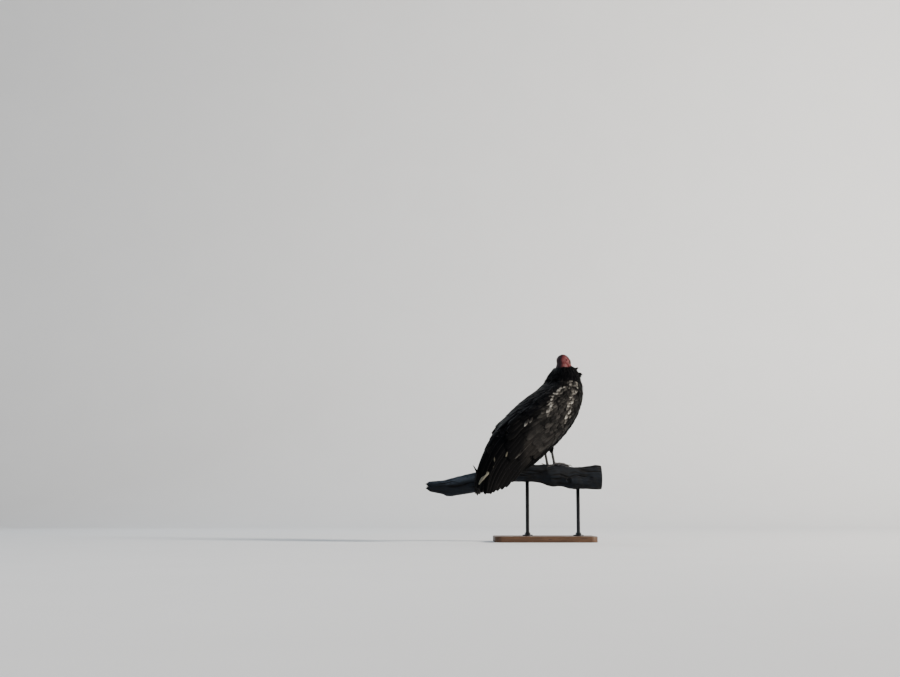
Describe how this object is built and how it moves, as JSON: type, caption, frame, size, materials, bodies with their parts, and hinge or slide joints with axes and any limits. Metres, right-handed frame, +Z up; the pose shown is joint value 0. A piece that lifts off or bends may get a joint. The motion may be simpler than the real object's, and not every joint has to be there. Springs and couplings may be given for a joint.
{
  "type": "vulture",
  "caption": "Still, life-size vulture standing on a cut length of dead limb, held level by a flat base and short upright rods.",
  "frame": {"origin": "centre of the stand base's underside", "axes": "+Z up, +X along the limb and the way the bird looks, -Y the side that shows its right wing"},
  "size_m": [0.654, 0.2883, 0.7099],
  "materials": {
    "plumage": "satin",
    "wing_plumage": "satin",
    "bare_skin": "satin",
    "bill_horn": "satin",
    "eye": "gloss",
    "leg_skin": "matte",
    "claw_horn": "satin",
    "dead_wood": "matte",
    "base_wood": "satin",
    "rod_metal": "satin"
  },
  "bodies": {
    "root": {"stand_base": "base_wood", "stand_rod_1": "rod_metal", "stand_rod_2": "rod_metal", "perch": "dead_wood", "trunk": "plumage", "ruff": "plumage", "tail": "plumage", "wing_coverts_right": "wing_plumage", "wing_coverts_left": "wing_plumage", "wing_secondaries_right": "wing_plumage", "wing_secondaries_left": "wing_plumage", "wing_primaries_right": "wing_plumage", "wing_primaries_left": "wing_plumage", "thigh_right": "plumage", "thigh_left": "plumage", "neck": "bare_skin", "head": "bare_skin", "bill_upper": "bill_horn", "bill_lower": "bill_horn", "eye_right": "eye", "eye_left": "eye", "foot_right": "leg_skin", "foot_left": "leg_skin", "claw_inner_right": "claw_horn", "claw_middle_right": "claw_horn", "claw_outer_right": "claw_horn", "claw_hind_right": "claw_horn", "claw_inner_left": "claw_horn", "claw_middle_left": "claw_horn", "claw_outer_left": "claw_horn", "claw_hind_left": "claw_horn"}
  },
  "joints": []
}
